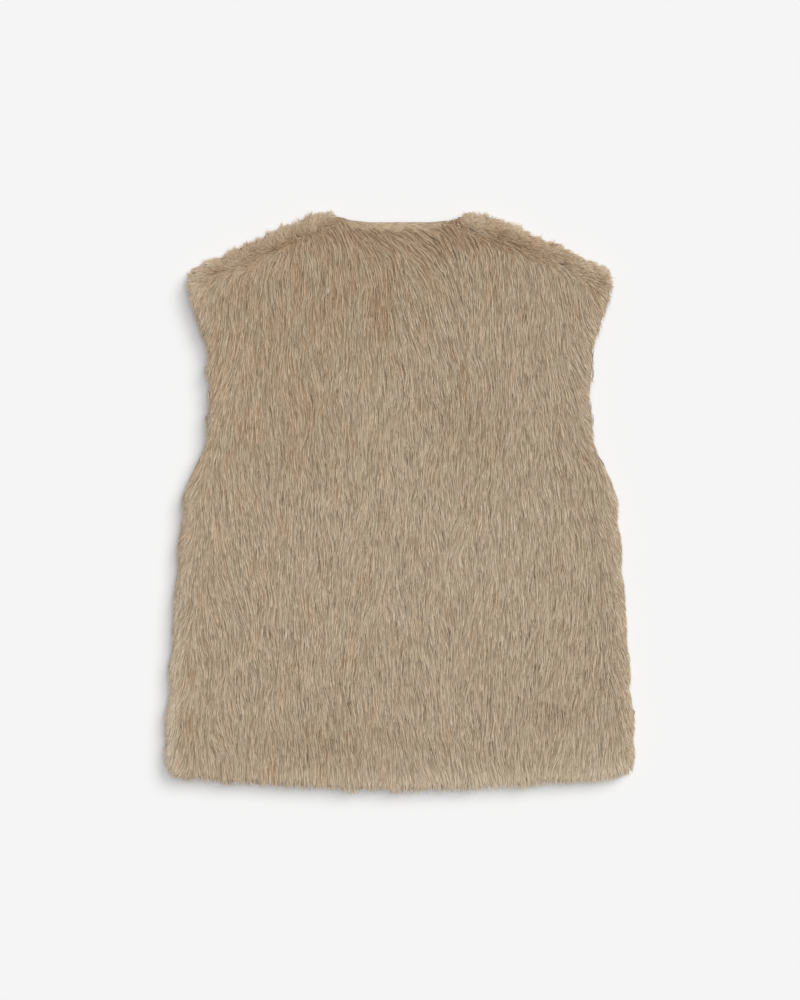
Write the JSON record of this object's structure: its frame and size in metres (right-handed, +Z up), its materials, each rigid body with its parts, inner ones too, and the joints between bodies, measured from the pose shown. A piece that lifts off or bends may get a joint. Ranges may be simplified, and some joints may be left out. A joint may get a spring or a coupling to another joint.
{
  "type": "faux fur vest",
  "caption": "Sleeveless open-front faux fur vest laid flat with its back up, with open neck, armholes and hem and fronts underneath.",
  "frame": {"origin": "middle of the vest's bounding box at the surface that it lies on", "axes": "+X to the right of the back as seen from above, +Y from hem to neck, +Z up from the surface"},
  "size_m": [0.5206, 0.644, 0.0253],
  "materials": {
    "faux_fur": "long soft pile, matt with a faint sheen along the strands"
  },
  "bodies": {
    "root": {"back": "faux_fur", "front_right": "faux_fur", "front_left": "faux_fur"}
  },
  "joints": []
}
